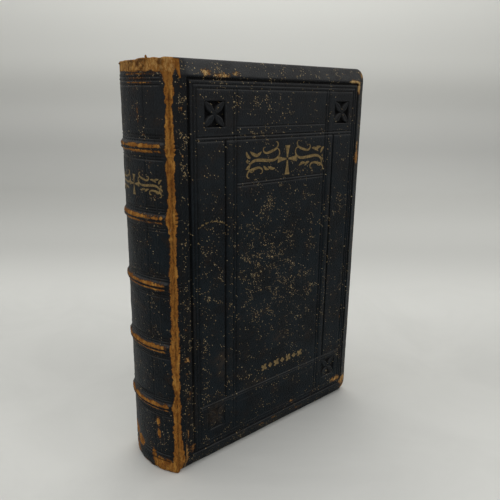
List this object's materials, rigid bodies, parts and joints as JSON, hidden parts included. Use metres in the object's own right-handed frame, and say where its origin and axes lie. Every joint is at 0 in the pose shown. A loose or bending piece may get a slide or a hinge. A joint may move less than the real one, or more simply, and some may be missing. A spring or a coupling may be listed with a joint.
{
  "type": "bible",
  "caption": "Leather-bound Bible with bevelled boards, a rounded spine with raised bands, blind-tooled panels and a worn tan joint; covers and end leaves open.",
  "frame": {"origin": "middle of the footprint, on the surface that the tail edges stand on", "axes": "+X from the spine to the fore-edge, +Y from the front cover to the back cover, +Z from tail to head"},
  "size_m": [0.164, 0.048, 0.235],
  "materials": {
    "cover_leather": "blue-black grained goatskin, worn satin",
    "spine_leather": "blue-black grained goatskin, rubbed",
    "joint_leather": "dark leather worn through to tan",
    "board": "dense mill board",
    "page_paper": "thin printing paper, gilt edges",
    "endpaper": "aged plain paper",
    "lining_paper": "brown kraft paper",
    "mull": "open cotton cloth, glued",
    "hemp_cord": "twisted hemp",
    "linen_thread": "waxed linen thread",
    "band_core": "rolled cord core",
    "silk": "silk thread, dulled",
    "band_strip": "pared leather strip"
  },
  "bodies": {
    "root": {"back_gutter_margin": "page_paper", "back_joint_leather": "joint_leather", "front_gutter_margin": "page_paper", "front_joint_leather": "joint_leather", "gathering_01": "page_paper", "gathering_02": "page_paper", "gathering_03": "page_paper", "gathering_04": "page_paper", "gathering_05": "page_paper", "gathering_06": "page_paper", "gathering_07": "page_paper", "gathering_08": "page_paper", "gathering_09": "page_paper", "gathering_10": "page_paper", "gathering_11": "page_paper", "gathering_12": "page_paper", "gathering_13": "page_paper", "gathering_14": "page_paper", "headband_core": "band_core", "headband_silk": "silk", "raised_band_1": "band_strip", "raised_band_2": "band_strip", "raised_band_3": "band_strip", "raised_band_4": "band_strip", "raised_band_5": "band_strip", "sewing_cord_1": "hemp_cord", "sewing_cord_2": "hemp_cord", "sewing_cord_3": "hemp_cord", "sewing_cord_4": "hemp_cord", "sewing_cord_5": "hemp_cord", "sewing_thread": "linen_thread", "spine_hollow_tube": "lining_paper", "spine_leather": "spine_leather", "spine_lining_paper": "lining_paper", "spine_mull": "mull", "tailband_core": "band_core", "tailband_silk": "silk"},
    "front_cover": {"front_board": "board", "front_cover_leather": "cover_leather", "front_pastedown": "endpaper"},
    "front_flyleaf_turn": {"front_flyleaf": "endpaper"},
    "front_leaf_2_turn": {"front_leaf_2": "page_paper"},
    "front_leaf_3_turn": {"front_leaf_3": "page_paper"},
    "front_leaf_4_turn": {"front_leaf_4": "page_paper"},
    "back_cover": {"back_board": "board", "back_cover_leather": "cover_leather", "back_pastedown": "endpaper"},
    "back_flyleaf_turn": {"back_flyleaf": "endpaper"},
    "back_leaf_2_turn": {"back_leaf_2": "page_paper"},
    "back_leaf_3_turn": {"back_leaf_3": "page_paper"},
    "back_leaf_4_turn": {"back_leaf_4": "page_paper"}
  },
  "joints": [
    {"name": "front_cover_hinge", "type": "hinge", "parent": "root", "child": "front_cover", "pos_m": [-0.07265, -0.024, 0], "axis": [0, 0, -1], "range_deg": [0, 180]},
    {"name": "front_flyleaf_hinge", "type": "hinge", "parent": "root", "child": "front_flyleaf_turn", "pos_m": [-0.06665, -0.01775, 0], "axis": [0, 0, -1], "range_deg": [0, 108]},
    {"name": "front_leaf_2_hinge", "type": "hinge", "parent": "root", "child": "front_leaf_2_turn", "pos_m": [-0.06665, -0.01775, 0], "axis": [0, 0, -1], "range_deg": [0, 81]},
    {"name": "front_leaf_3_hinge", "type": "hinge", "parent": "root", "child": "front_leaf_3_turn", "pos_m": [-0.06665, -0.01775, 0], "axis": [0, 0, -1], "range_deg": [0, 54]},
    {"name": "front_leaf_4_hinge", "type": "hinge", "parent": "root", "child": "front_leaf_4_turn", "pos_m": [-0.06665, -0.01775, 0], "axis": [0, 0, -1], "range_deg": [0, 27]},
    {"name": "back_cover_hinge", "type": "hinge", "parent": "root", "child": "back_cover", "pos_m": [-0.07265, 0.024, 0], "axis": [0, 0, 1], "range_deg": [0, 180]},
    {"name": "back_flyleaf_hinge", "type": "hinge", "parent": "root", "child": "back_flyleaf_turn", "pos_m": [-0.06665, 0.01775, 0], "axis": [0, 0, 1], "range_deg": [0, 108]},
    {"name": "back_leaf_2_hinge", "type": "hinge", "parent": "root", "child": "back_leaf_2_turn", "pos_m": [-0.06665, 0.01775, 0], "axis": [0, 0, 1], "range_deg": [0, 81]},
    {"name": "back_leaf_3_hinge", "type": "hinge", "parent": "root", "child": "back_leaf_3_turn", "pos_m": [-0.06665, 0.01775, 0], "axis": [0, 0, 1], "range_deg": [0, 54]},
    {"name": "back_leaf_4_hinge", "type": "hinge", "parent": "root", "child": "back_leaf_4_turn", "pos_m": [-0.06665, 0.01775, 0], "axis": [0, 0, 1], "range_deg": [0, 27]}
  ],
  "couplings": [
    {"joint": "front_flyleaf_hinge", "follows": "front_cover_hinge", "ratio": 0.6},
    {"joint": "front_leaf_2_hinge", "follows": "front_cover_hinge", "ratio": 0.45},
    {"joint": "front_leaf_3_hinge", "follows": "front_cover_hinge", "ratio": 0.3},
    {"joint": "front_leaf_4_hinge", "follows": "front_cover_hinge", "ratio": 0.15},
    {"joint": "back_flyleaf_hinge", "follows": "back_cover_hinge", "ratio": 0.6},
    {"joint": "back_leaf_2_hinge", "follows": "back_cover_hinge", "ratio": 0.45},
    {"joint": "back_leaf_3_hinge", "follows": "back_cover_hinge", "ratio": 0.3},
    {"joint": "back_leaf_4_hinge", "follows": "back_cover_hinge", "ratio": 0.15}
  ]
}
